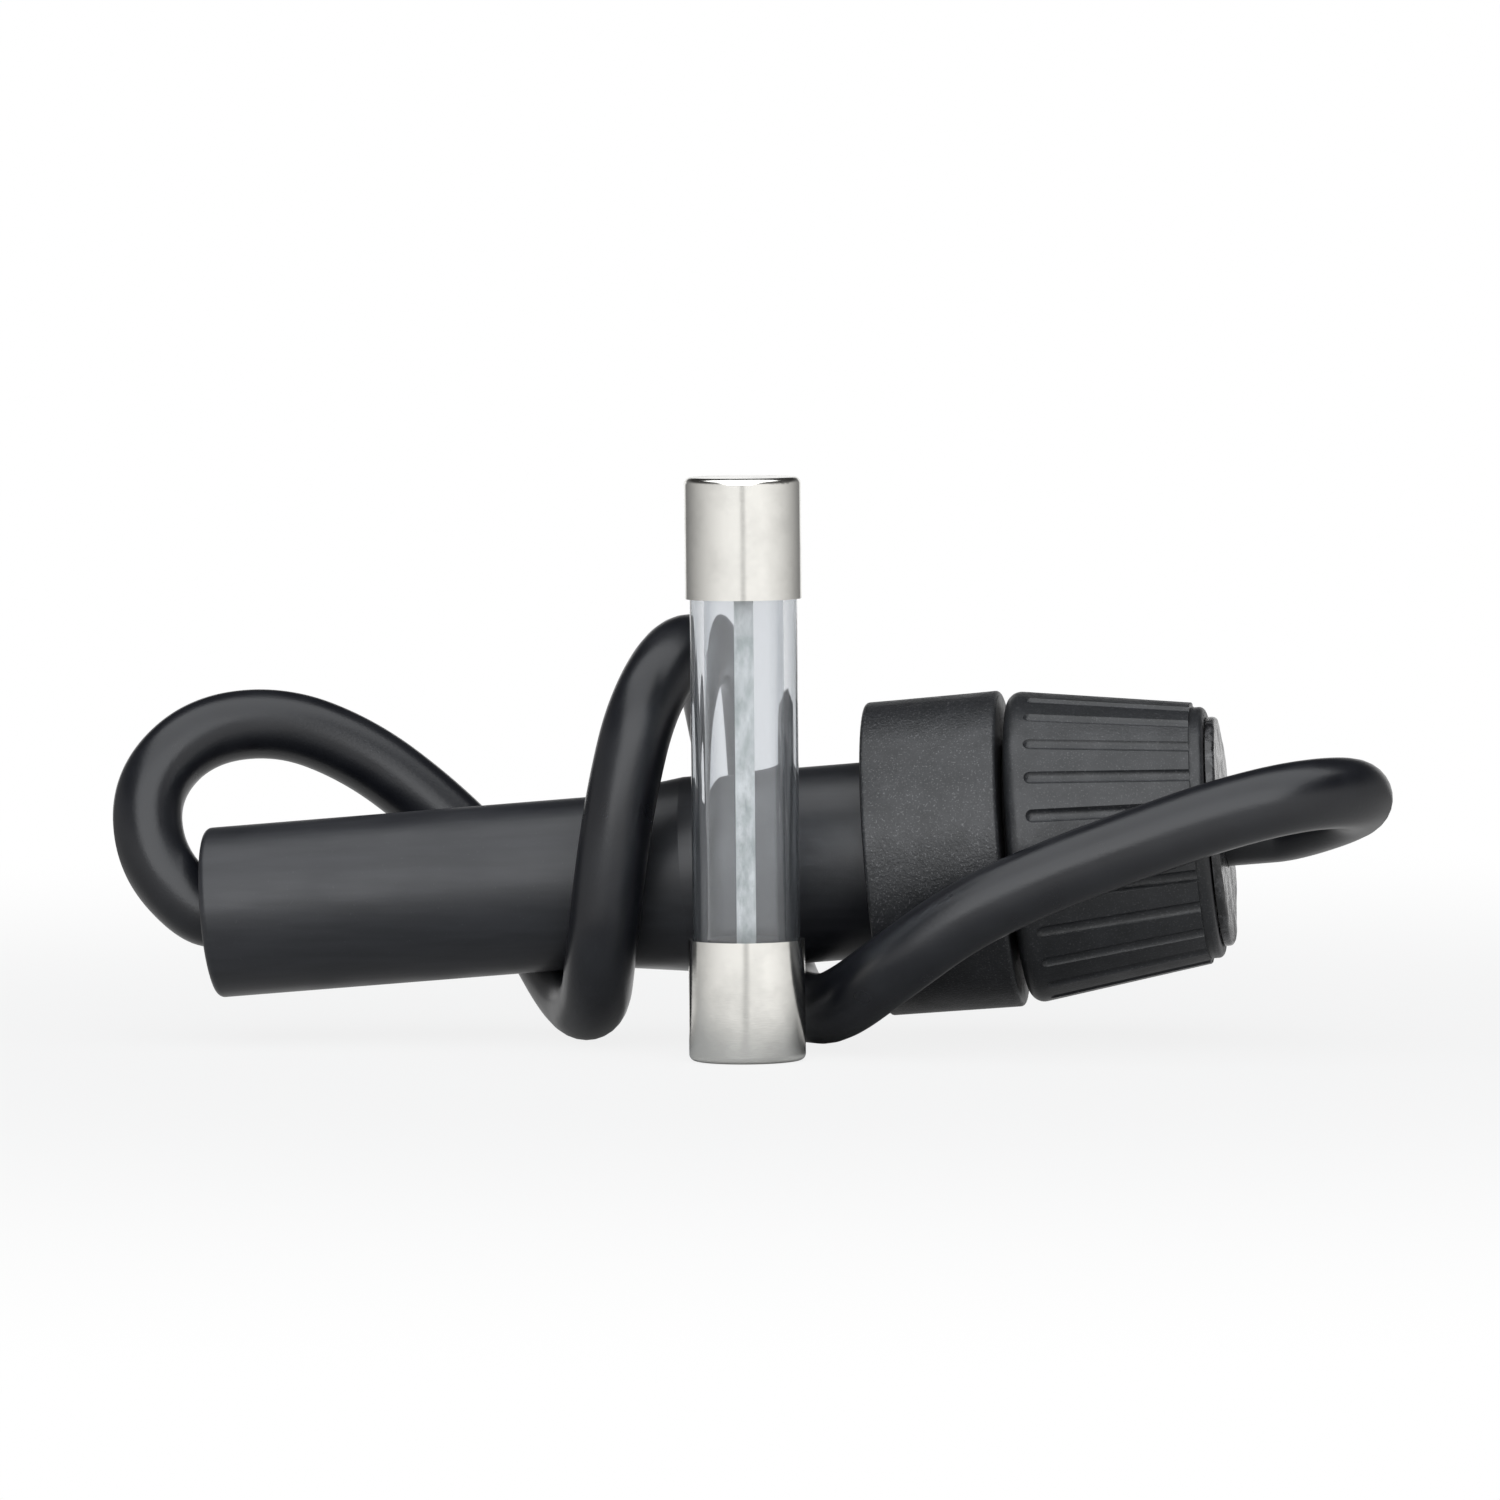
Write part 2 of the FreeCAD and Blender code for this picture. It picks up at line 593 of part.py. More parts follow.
def cut_flutes(knob):
    """Shallow round grooves down the knob's taper, each with a rounded end near the mouth."""
    taper = "(knob_taper / knob_length)"
    start = f"({KNOB_MOUTH} + flute_start)"
    across = f"({KNOB_WIDE} - flute_start * {taper} + flute_radius - flute_depth)"
    length = f"((knob_length - flute_start) / cos(atan({taper})) + flute_overrun)"
    flute = round_ended_cut(
        knob, "flute", (start, "0", across), f"360 deg - atan({taper})", "flute_radius", length)
    ring_of(knob, flute, "flute_count")


def cut_locking_grooves(knob):
    """Two grooves that guide the nibs: along from the mouth, then a ramp round to the lock."""
    room = "(nib_radius + nib_room)"
    places = []
    for step in range(RAMP_STEPS + 1):
        turn = f"(turn_angle * {step} / {RAMP_STEPS})"
        along = f"({NIB_ALONG} - turn_rise * {step} / {RAMP_STEPS})"
        places.append((along, f"{NIB_CENTRE} * sin({turn})", f"{NIB_CENTRE} * cos({turn})"))
    for step, place in enumerate(places[:-1]):
        ball = cutting_or_adding(
            knob, "PartDesign::SubtractiveSphere", f"lock_ramp_{step}", place, Radius=room)
        ring_of(knob, ball, "nib_count")
    along = places[-1][0]
    entry = round_ended_cut(
        knob, "lock_entry", places[-1], "180 deg", room,
        f"{along} - {KNOB_MOUTH} + entry_overrun")
    ring_of(knob, entry, "nib_count")


def make_knob():
    """Tapered knob: seal seat at its mouth, bore for the neck, end wall with the plug's hole."""
    seat = f"({SEAL} + seal_section + seal_room)"
    seat_depth = f"({SEAL_CENTRE} + seal_section + seal_room)"
    plug_seat = f"({PLUG_STEM} + plug_fit)"
    knob = turned("knob", [
        (KNOB_MOUTH, seat),
        (KNOB_MOUTH, KNOB_WIDE),
        (FLUTE_END, KNOB_NARROW),
        (FLUTE_END, RING),
        (RING_END, RING),
        (RING_END, plug_seat),
        (KNOB_WALL_INSIDE, plug_seat),
        (KNOB_WALL_INSIDE, KNOB_BORE),
        (seat_depth, KNOB_BORE),
        (seat_depth, seat),
    ])
    round_edges(knob, "knob_round", [(KNOB_MOUTH, KNOB_WIDE)])
    round_edges(knob, "ring_round", [(RING_END, RING)])
    cut_flutes(knob)
    cut_locking_grooves(knob)
    return in_holder(knob)


def make_fuse_cap(name, end, inward):
    """A drawn cap; inward is the sign that leads from the fuse's end to its middle."""
    floor = f"({end} {inward} cap_floor)"
    mouth = f"({end} {inward} cap_length)"
    inside = "(fuse_radius - cap_wall)"
    cap = turned(name, [
        (end, "0"), (end, "fuse_radius"), (mouth, "fuse_radius"),
        (mouth, inside), (floor, inside), (floor, "0")])
    round_edges(cap, "cap_round", [(end, "fuse_radius")])
    return with_fuse(cap)


def make_fuse_glass():
    outside = "(fuse_radius - cap_wall - cap_fit)"
    inside = f"({outside} - glass_wall)"
    low = "glass_inset"
    high = "(fuse_length - glass_inset)"
    return with_fuse(turned("fuse_glass_tube", [
        (low, inside), (low, outside), (high, outside), (high, inside)]))


def make_fuse_element():
    """Flat strip from cap to cap."""
    low = "(cap_floor + cap_fit)"
    high = "(fuse_length - cap_floor - cap_fit)"
    side = "(element_width / 2)"
    body = doc.addObject("PartDesign::Body", "fuse_element")
    sketch = outline_sketch(
        body, [(low, side), (high, side), (high, f"-{side}"), (low, f"-{side}")])
    strip = body.newObject("PartDesign::Pad", "element_strip")
    strip.Profile = sketch
    strip.Midplane = True
    strip.setExpression("Length", bound("element_thickness"))
    sketch.Visibility = False
    doc.recompute()
    return with_fuse(body)


def make_fuse_bead(name, end, inward):
    """Solder bead in a cap round the strip's end, slotted for the strip."""
    floor = f"({end} {inward} (cap_floor + cap_fit))"
    top = f"({floor} {inward} bead_length)"
    radius = "(fuse_radius - cap_wall - cap_fit - glass_wall - bead_room)"
    bead = turned(name, [
        (floor, "0"), (floor, radius), (top, f"({radius} * bead_taper)"), (top, "0")])
    slot = bead.newObject("PartDesign::SubtractiveBox", name + "_slot")
    start = floor if inward == "+" else top
    slot.setExpression("Placement.Base.x", bound(f"{start} - cap_fit"))
    slot.setExpression("Placement.Base.y", bound("-(element_thickness / 2 + cap_fit)"))
    slot.setExpression("Placement.Base.z", bound("-(element_width / 2 + cap_fit)"))
    slot.setExpression("Length", bound("bead_length + 2 * cap_fit"))
    slot.setExpression("Width", bound("element_thickness + 2 * cap_fit"))
    slot.setExpression("Height", bound("element_width + 2 * cap_fit"))
    doc.recompute()
    return with_fuse(bead)


def lead_path(points):
    """Straight runs joined by tangent arcs, each arc as large as its runs allow."""
    edges = []
    cursor = points[0]
    for before, corner, after in zip(points, points[1:], points[2:]):
        back = (before - corner).normalize()
        on = (after - corner).normalize()
        half_turn = (math.pi - back.getAngle(on)) / 2
        shorter = min((before - corner).Length, (after - corner).Length)
        radius = ARC_SHARE * shorter / math.tan(half_turn)
        reach = radius * math.tan(half_turn)
        arc_start = corner + back * reach
        arc_end = corner + on * reach
        towards_centre = (back + on).normalize()
        middle = corner + towards_centre * (radius / math.cos(half_turn) - radius)
        edges.append(Part.LineSegment(cursor, arc_start).toShape())
        edges.append(Part.Arc(arc_start, middle, arc_end).toShape())
        cursor = arc_end
        print(f"lead bend: turn {math.degrees(2 * half_turn):.0f} degrees, radius {radius:.1f} mm")
    edges.append(Part.LineSegment(cursor, points[-1]).toShape())
    return Part.Wire(edges)


def make_lead():
    place = holder_placement()
    stations = [REAR_LEAD_END, "-exit_run", f"{PLUG_DISC_FRONT} + return_run", PLUG_LIP_FACE]
    first, leaving, returning, last = [
        place.multVec(FreeCAD.Vector(value(words), 0, 0)) for words in stations]
    points = [first, leaving] + [FreeCAD.Vector(*point) for point in LEAD_POINTS]
    points += [returning, last]
    path = lead_path(points)
    radius = value("lead_radius")
    section = Part.Wire(Part.makeCircle(radius, first, leaving - first))
    lead = doc.addObject("Part::Feature", "lead_wire")
    lead.Shape = path.makePipeShell([section], True, True)
    expected = math.pi * radius ** 2 * path.Length
    share = lead.Shape.Volume / expected
    print(f"lead: length {path.Length:.1f} mm, volume {share:.4f} of section times length")
    return lead


def make_all():
    return [
        make_sleeve(),
        make_grommet(),
        make_moulded_body(),
        make_seal_ring(),
        make_rear_contact(),
        make_core("rear_wire_core", REAR_LEAD_END, "(barrel_start + barrel_depth - core_fit)"),
        make_solder("rear_solder_joint", "barrel_start", BARREL, "solder_length", "-"),
        make_lead(),
        make_front_contact(),
        make_core("front_wire_core", f"({FRONT_CUP_END} + core_fit)", PLUG_LIP_FACE),
        make_solder("front_solder_joint", FRONT_BARREL_END, FRONT_BARREL,
                    "front_solder_length", "+"),
        make_spring(),
        make_spring_washer(),
        make_end_plug(),
        make_knob(),
        make_fuse_cap("fuse_lower_cap", "0", "+"),
        make_fuse_cap("fuse_upper_cap", "fuse_length", "-"),
        make_fuse_glass(),
        make_fuse_element(),
        make_fuse_bead("fuse_lower_solder", "0", "+"),
        make_fuse_bead("fuse_upper_solder", "fuse_length", "-"),
    ]


def check_and_write(pieces):
    doc.recompute()
    for thing in doc.Objects:
        if "Invalid" in thing.State or "Error" in thing.State:
            raise RuntimeError(f"{thing.Name} failed: {thing.State}")
    for piece in pieces:
        shape = piece.Shape
        if shape.isNull() or not shape.isValid() or len(shape.Solids) != 1:
            raise RuntimeError(f"{piece.Label} has no single valid solid")
        if shape.Volume <= 0:
            raise RuntimeError(f"{piece.Label} is inside out")
    os.makedirs("parts", exist_ok=True)
    for piece in pieces:
        piece.Shape.exportStep(f"parts/{piece.Label}.step")
        box = piece.Shape.BoundBox
        print(f"{piece.Label}: volume {piece.Shape.Volume:.2f} mm3, x {box.XMin:.2f} to {box.XMax:.2f}, "
              f"y {box.YMin:.2f} to {box.YMax:.2f}, z {box.ZMin:.2f} to {box.ZMax:.2f}")


fill_sheet()
check_and_write(make_all())
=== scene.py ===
import json
import math
import bpy
import bmesh
from mathutils import Matrix, Vector, noise


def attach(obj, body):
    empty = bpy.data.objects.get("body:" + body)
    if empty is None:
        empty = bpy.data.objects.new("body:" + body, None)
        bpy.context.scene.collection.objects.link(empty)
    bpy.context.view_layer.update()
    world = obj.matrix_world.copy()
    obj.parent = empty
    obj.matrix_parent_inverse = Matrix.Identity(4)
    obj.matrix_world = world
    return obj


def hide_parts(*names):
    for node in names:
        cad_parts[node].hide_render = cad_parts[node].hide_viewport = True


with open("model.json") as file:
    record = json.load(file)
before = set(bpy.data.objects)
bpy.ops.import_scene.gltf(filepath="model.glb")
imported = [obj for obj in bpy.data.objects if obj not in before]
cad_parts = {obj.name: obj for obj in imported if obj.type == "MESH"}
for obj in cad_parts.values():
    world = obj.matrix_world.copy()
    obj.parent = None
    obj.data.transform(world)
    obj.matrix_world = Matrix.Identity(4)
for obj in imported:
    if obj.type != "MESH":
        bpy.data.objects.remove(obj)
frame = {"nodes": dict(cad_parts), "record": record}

# Inline fuse holder with its looped lead, and its glass fuse standing in front. Metres, +Z up.

MM = 0.001

# The holder's axis in the row frame: it rises towards the knob.
PITCH = math.radians(4.5)
AXIS_START = Vector((-28.374, 3.3525, 7.1227)) * MM
AXIS = Vector((math.cos(PITCH), 0, math.sin(PITCH)))

# Lead: its ends lie on the axis inside the sleeve and inside the knob, that many millimetres
# from the sleeve's open end, and its other points are in millimetres in the row frame.
LEAD_RADIUS = 1.95 * MM
LEAD_SPLINE_STEPS = 16
LEAD_ROUND_STEPS = 12
LEAD_INSIDE_SLEEVE = (5.0, 1.0, -0.7)
LEAD_INSIDE_KNOB = (60.5, 58.4, 54.45)
LEAD_POINTS = [
    (-31.9, 3.7, 10.1),
    (-32.3, 4.9, 14.1),
    (-29.6, 6.6, 17.1),
    (-25.2, 8.5, 17.6),
    (-20.9, 9.8, 15.8),
    (-16.9, 10.4, 12.7),
    (-13.5, 10.5, 9.3),
    (-11.2, 10.1, 5.7),
    (-8.5, 6.3, 1.97),
    (-6.6, 0.6, 1.97),
    (-5.7, -3.6, 5.4),
    (-5.1, -4.0, 10.2),
    (-4.4, -3.7, 14.6),
    (-3.4, -2.9, 18.9),
    (-1.9, 0.9, 21.9),
    (-0.8, 6.1, 21.6),
    (-0.5, 10.2, 17.9),
    (0.3, 11.0, 13.1),
    (1.3, 11.0, 8.4),
    (2.4, 10.0, 4.4),
    (3.8, 6.2, 1.97),
    (5.3, 1.0, 1.97),
    (7.3, -4.3, 2.4),
    (10.7, -7.5, 4.9),
    (14.7, -8.0, 7.8),
    (19.3, -7.9, 9.9),
    (24.0, -7.6, 11.6),
    (28.6, -7.3, 13.2),
    (32.8, -6.7, 14.2),
    (35.8, -3.6, 14.2),
    (35.8, 0.4, 13.3),
]

# Rough face of the end plug, in millimetres: the back and front of its outer disc along the
# axis, the disc's edge and hole, and the lumps that stand on it above a thin skin.
PLUG_BACK = 56.35
PLUG_FRONT = 56.8
PLUG_EDGE = 6.32
PLUG_ROUND = 0.2
PLUG_ROUND_RINGS = 4
PLUG_HOLE = 2.1
PLUG_GRID = 0.09
PLUG_SKIN = 0.01
PLUG_LUMP = 2.0
PLUG_LUMP_HEIGHT = 0.05
PLUG_LUMP_SHARE = 0.5
PLUG_FRACTAL = (0.9, 2.0, 2)
PLUG_SIDE_RINGS = 3

# Camera: the photograph's viewing angle.
VIEW_AZIMUTH = math.radians(6.0)
VIEW_ELEVATION = math.radians(3.5)
VIEW_ROLL = math.radians(0.53)
VIEW_DISTANCE = 600 * MM
VIEW_TARGET = Vector((2.25, 0, 16.35)) * MM
SENSOR_WIDTH = 36.0
LENS = 261.0
CLIP_START = 0.01
CLIP_END = 50

# Floor, just under the fuse's foot. White, fade and sheen fade give how white it is seen and
# where, by distance from the object; the sheen is a white glow that only reflections see. The rim
# is the strip beneath the object, towards its back, that its undersides mirror: it glows in
# reflections where the object's shadow lies, a painted reflection for their pale lower edges.
FLOOR_HEIGHT = -0.02 * MM
FLOOR_SIZE = 6.0
FLOOR_COLOR = (0.36, 0.365, 0.37)
FLOOR_ROUGHNESS = 0.8
FLOOR_SPECULAR = 0.1
FLOOR_WHITE = (0.85, 1.0)
FLOOR_FADE = (0.03, 0.16)
FLOOR_SHEEN_FADE = (0.016, 0.055)
FLOOR_RIM = (0.002, -0.009)
FLOOR_RIM_FADE = (0.05, 0.1)
FLOOR_RIM_GLOW = 0.62

# Softboxes: name, size, place, tilt about X in degrees, radiance as a multiple of white.
SOFTBOXES = [
    ("softbox_above", (0.7, 0.5), (0.0, -0.11, 0.42), 0.0, 1.95),
    ("softbox_front", (0.8, 0.66), (0.0, -0.655, 0.268), 27.2, 2.55),
]
SOFTBOX_COLOR = (0.96, 0.98, 1.0)

# Pale panels in front of the object, with a narrow gap between them, and a white card behind
# it. Reach and gap are shares of a level direction, top is a share of the way up.
FRONT = (math.sin(VIEW_AZIMUTH), -math.cos(VIEW_AZIMUTH), 0)
RIGHT = (math.cos(VIEW_AZIMUTH), math.sin(VIEW_AZIMUTH), 0)
PANEL_REACH = (-1.0, 0.8)
PANEL_LEVELS = (0.12, 1.0)
PANEL_LEAN = (0.93, 1.1)
PANEL_TOP = (0.1, 0.5)
ABOVE_SHARE = 0.12
PANEL_GAP = (0.03, 0.12)
GAP_LEVEL = 0.6
CARD_REACH = (-0.85, -0.93)
CARD_TOP = (0.14, 0.34)


def remove_startup_objects():
    for name in ("Cube", "Light", "Camera"):
        found = bpy.data.objects.get(name)
        if found:
            bpy.data.objects.remove(found)


remove_startup_objects()
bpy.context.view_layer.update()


def on_axis(along_mm):
    """The point of the holder's axis that far from the sleeve's open end."""
    return AXIS_START + AXIS * (along_mm * MM)


class NodeTree:
    """A tree of nodes, with short calls that add linked nodes to it."""

    def __init__(self, owner):
        owner.use_nodes = True
        self.nodes = owner.node_tree.nodes
        self.links = owner.node_tree.links

    def node(self, kind, inputs=None, **settings):
        made = self.nodes.new(kind)
        for key, value in settings.items():
            setattr(made, key, value)
        for socket, value in (inputs or {}).items():
            if isinstance(value, bpy.types.NodeSocket):
                self.links.new(value, made.inputs[socket])
            else:
                made.inputs[socket].default_value = value
        return made

    def spread(self, value, low, high, to_low=0.0, to_high=1.0, shape="LINEAR"):
        """Maps low..high of a value onto another range, clamped."""
        made = self.node("ShaderNodeMapRange", {
            "Value": value, "From Min": low, "From Max": high,
            "To Min": to_low, "To Max": to_high}, interpolation_type=shape)
        return made.outputs["Result"]

    def combine(self, first, second, operation="ADD"):
        """One of Blender's maths operations on two values or sockets."""
        made = self.node("ShaderNodeMath", {0: first, 1: second}, operation=operation)
        return made.outputs["Value"]

    def seen_directly(self):
        """One where the viewer looks straight at something or through clear glass at it."""
        path = self.node("ShaderNodeLightPath").outputs
        return self.combine(path["Is Camera Ray"], path["Is Transmission Ray"], "MAXIMUM")

    def dot(self, vector, direction):
        made = self.node("ShaderNodeVectorMath", {0: vector, 1: direction},
                         operation="DOT_PRODUCT")
        return made.outputs["Value"]

    def panels(self, direction):
        """Level of the pale panels in a level direction, full in front and dim behind."""
        across = self.dot(direction, RIGHT)
        level = self.spread(self.dot(direction, FRONT), *PANEL_REACH, *PANEL_LEVELS)
        lean = self.spread(across, -1, 1, *PANEL_LEAN)
        gap = self.spread(self.combine(across, 0, "ABSOLUTE"), *PANEL_GAP, GAP_LEVEL, 1)
        return self.combine(self.combine(level, lean, "MULTIPLY"), gap, "MULTIPLY")

    def card(self, direction):
        """One towards the white card behind the object."""
        return self.spread(self.dot(direction, FRONT), *CARD_REACH)


class Shader(NodeTree):
    """A node material round one Principled shader, with short calls for what feeds it. Its plain
    colour and roughness hold wherever nothing feeds them."""

    def __init__(self, name, color, roughness, metallic=0.0, specular=0.5):
        self.material = bpy.data.materials.new(name)
        super().__init__(self.material)
        self.surface = self.nodes["Principled BSDF"]
        self.set("Base Color", (*color, 1))
        self.set("Roughness", roughness)
        self.set("Metallic", metallic)
        self.set("Specular IOR Level", specular)
        self.bump_out = None

    def set(self, socket, value):
        self.surface.inputs[socket].default_value = value

    def place(self, stretch=(1, 1, 1), turn=(0, 0, 0)):
        """Coordinates in metres in the row frame, turned and then stretched."""
        coordinates = self.node("ShaderNodeTexCoord").outputs["Object"]
        mapping = self.node("ShaderNodeMapping", {
            "Vector": coordinates, "Rotation": turn, "Scale": stretch})
        return mapping.outputs["Vector"]

    def noise(self, size_mm, detail=3.0, roughness=0.55, where=None, distortion=0.0):
        """Cloudy noise whose lumps are about that large."""
        made = self.node("ShaderNodeTexNoise", {
            "Scale": 1 / (size_mm * MM), "Detail": detail, "Roughness": roughness,
            "Distortion": distortion})
        self.links.new(where or self.place(), made.inputs["Vector"])
        return made.outputs["Fac"]

    def blend(self, share, first, second):
        """A colour between two colours or colour sockets."""
        made = self.node("ShaderNodeMix", data_type="RGBA")
        self.links.new(share, made.inputs["Factor"])
        for socket, color in (("A", first), ("B", second)):
            target = next(i for i in made.inputs if i.name == socket and i.type == "RGBA")
            if isinstance(color, bpy.types.NodeSocket):
                self.links.new(color, target)
            else:
                target.default_value = (*color, 1)
        return next(o for o in made.outputs if o.type == "RGBA")

    def color(self, socket):
        self.links.new(socket, self.surface.inputs["Base Color"])

    def roughness(self, socket):
        self.links.new(socket, self.surface.inputs["Roughness"])

    def bump(self, height, depth_mm, strength=1.0):
        """Bumps of that depth; later calls lie on top of earlier ones."""
        made = self.node("ShaderNodeBump", {
            "Height": height, "Distance": depth_mm * MM, "Strength": strength})
        if self.bump_out:
            self.links.new(self.bump_out, made.inputs["Normal"])
        self.bump_out = made.outputs["Normal"]
        self.links.new(self.bump_out, self.surface.inputs["Normal"])


# How the coordinates of directed marks are turned and stretched: along the holder's axis, up
# the strip and the glass, round the caps, or the same all ways.
ALONG_HOLDER = {"turn": (0, PITCH, 0), "stretch": (0.12, 1, 1)}
ALONG_STRANDS = {"turn": (0, PITCH, 0), "stretch": (0.03, 1, 1)}
UP_STRIP = {"stretch": (1, 1, 0.45)}
UP_GLASS = {"stretch": (1, 1, 0.04)}
ROUND_CAP = {"stretch": (1, 1, 14)}
ALL_WAYS = {"stretch": (1, 1, 1)}

# The two tones that each finish blends between, and what is laid on it: real dust, and pale
# flecks that are painted glints.
SLEEVE_TONES = (0.013, 0.014, 0.017), (0.02, 0.021, 0.025)
SLEEVE_DUST = (0.05, 0.05, 0.055)
MOULDING_TONES = (0.0105, 0.0115, 0.013), (0.021, 0.022, 0.0245)
# Pale flecks on the mouldings: painted glints of their grain.
MOULDING_GLINT_FLECK = (0.16, 0.16, 0.165)
LEAD_TONES = (0.005, 0.0055, 0.008), (0.009, 0.01, 0.013)
RUBBER_TONES = (0.014, 0.014, 0.015), (0.03, 0.03, 0.031)
# The plug's pale second tone is a painted glint on its high places.
PLUG_TONE_AND_GLINT = (0.011, 0.011, 0.012), (0.34, 0.34, 0.35)
ZINC_TONES = (0.42, 0.46, 0.45), (0.86, 0.88, 0.87)
COPPER_TONES = (0.7, 0.55, 0.42), (0.82, 0.78, 0.72)
GLASS_TONES = (0.85, 0.865, 0.885), (0.45, 0.48, 0.51)

# Metals.
BRASS = (0.76, 0.56, 0.28)
STEEL = (0.56, 0.56, 0.57)
SOLDER = (0.62, 0.62, 0.63)
NICKEL = (0.86, 0.845, 0.8)

# How much deeper the shallow dents of plated metal are than its fine marks.
DENTS_TO_MARKS = 8


def sleeve_vinyl():
    """Satin black vinyl: faint drawn streaks, soft clouds in its gloss, a little dust."""
    s = Shader("sleeve_vinyl", (0.016, 0.017, 0.02), 0.4)
    streaks = s.noise(size_mm=0.7, detail=2, where=s.place(**ALONG_HOLDER))
    clouds = s.noise(size_mm=4.0, detail=2)
    grain = s.noise(size_mm=0.09, detail=2)
    tone = s.blend(s.spread(streaks, 0.35, 0.7), *SLEEVE_TONES)
    dust = s.spread(s.noise(size_mm=0.16, detail=1), 0.7, 0.78, 0, 0.3)
    s.color(s.blend(dust, tone, SLEEVE_DUST))
    s.roughness(s.spread(clouds, 0.35, 0.7, 0.34, 0.44))
    s.bump(streaks, depth_mm=0.008)
    s.bump(grain, depth_mm=0.003)
    return s.material


def grained_plastic(name, grain_mm, patches_mm, glint_fleck):
    """Black moulding with a spark-eroded grain, dull patches and pale flecks that are painted
    glints of the grain.
    """
    s = Shader(name, (0.022, 0.023, 0.025), 0.42)
    grain = s.noise(size_mm=0.16, detail=3, roughness=0.6)
    patches = s.noise(size_mm=1.6, detail=4, roughness=0.6)
    # Pale flecks in the colour, standing in for glints off the grain: painted glints.
    glint_flecks = s.spread(s.noise(size_mm=0.1, detail=1), 0.6, 0.72, 0, glint_fleck)
    tone = s.blend(s.spread(patches, 0.35, 0.68), *MOULDING_TONES)
    s.color(s.blend(glint_flecks, tone, MOULDING_GLINT_FLECK))
    s.roughness(s.spread(patches, 0.3, 0.7, 0.41, 0.32))
    s.bump(patches, depth_mm=patches_mm)
    s.bump(grain, depth_mm=grain_mm, strength=1.3)
    return s.material


def lead_insulation():
    """Glossy black vinyl with an orange-peel skin."""
    s = Shader("lead_insulation", (0.006, 0.0065, 0.009), 0.27)
    peel = s.noise(size_mm=0.18, detail=3, roughness=0.55)
    clouds = s.noise(size_mm=3.0, detail=2)
    s.color(s.blend(s.spread(clouds, 0.35, 0.7), *LEAD_TONES))
    s.roughness(s.spread(clouds, 0.3, 0.7, 0.27, 0.34))
    s.bump(peel, depth_mm=0.007)
    return s.material


def soft_rubber(name):
    s = Shader(name, (0.02, 0.02, 0.021), 0.55, specular=0.4)
    grain = s.noise(size_mm=0.2, detail=3)
    s.color(s.blend(grain, *RUBBER_TONES))
    s.bump(grain, depth_mm=0.015)
    return s.material


def plug_rubber():
    """Lumpy, part glossy black rubber, with painted glints as a pale colour on its high places."""
    s = Shader("plug_rubber", (0.03, 0.03, 0.031), 0.3, specular=0.6)
    lumps = s.noise(size_mm=0.9, detail=5, roughness=0.65, distortion=0.6)
    fine = s.noise(size_mm=0.25, detail=3)
    # Pale colour on the tops of the lumps: painted glints.
    plug_glints = s.spread(s.combine(lumps, s.combine(fine, 0.25, "MULTIPLY")), 0.62, 0.74, 0, 0.18)
    s.color(s.blend(plug_glints, *PLUG_TONE_AND_GLINT))
    s.roughness(s.spread(lumps, 0.35, 0.65, 0.12, 0.3))
    s.bump(lumps, depth_mm=0.05)
    s.bump(fine, depth_mm=0.008)
    return s.material


def plated_metal(name, color, roughness, marks_mm=0.0008, marks=ROUND_CAP, stain=0.9):
    """Plated or drawn metal: fine marks round the piece, faint tarnish, shallow dents."""
    s = Shader(name, color, roughness, metallic=1.0)
    lines = s.noise(size_mm=0.5, detail=3, where=s.place(**marks))
    clouds = s.noise(size_mm=2.2, detail=3)
    darker = tuple(channel * stain for channel in color)
    s.color(s.blend(s.spread(clouds, 0.45, 0.75), color, darker))
    s.roughness(s.spread(s.combine(clouds, lines), 0.75, 1.25, roughness - 0.04, roughness + 0.06))
    s.bump(clouds, depth_mm=marks_mm * DENTS_TO_MARKS)
    s.bump(lines, depth_mm=marks_mm)
    return s.material


def zinc_strip():
    """Dull rolled zinc, mottled pale and dark along the strip."""
    s = Shader("element_zinc", (0.6, 0.63, 0.62), 0.42, metallic=0.75)
    mottle = s.noise(size_mm=0.7, detail=5, roughness=0.65, where=s.place(**UP_STRIP))
    s.color(s.blend(s.spread(mottle, 0.36, 0.66), *ZINC_TONES))
    s.roughness(s.spread(mottle, 0.35, 0.7, 0.34, 0.55))
    s.bump(mottle, depth_mm=0.02)
    return s.material


def stranded_copper():
    """Tinned strands laid side by side."""
    s = Shader("tinned_copper", (0.75, 0.66, 0.56), 0.3, metallic=1.0)
    strands = s.noise(size_mm=0.3, detail=1, where=s.place(**ALONG_STRANDS))
    s.color(s.blend(strands, *COPPER_TONES))
    s.bump(strands, depth_mm=0.08)
    return s.material


def clear_glass():
    """Clear drawn glass with faint lengthwise draw lines."""
    s = Shader("fuse_glass", (0.85, 0.865, 0.885), 0.0)
    s.set("Transmission Weight", 0.95)
    s.set("IOR", 1.5)
    facing = s.node("ShaderNodeLayerWeight", {"Blend": 0.5}).outputs["Facing"]
    s.color(s.blend(s.spread(facing, 0.2, 0.5), *GLASS_TONES))
    lines = s.noise(size_mm=0.8, detail=2, where=s.place(**UP_GLASS))
    s.bump(lines, depth_mm=0.002)
    return s.material


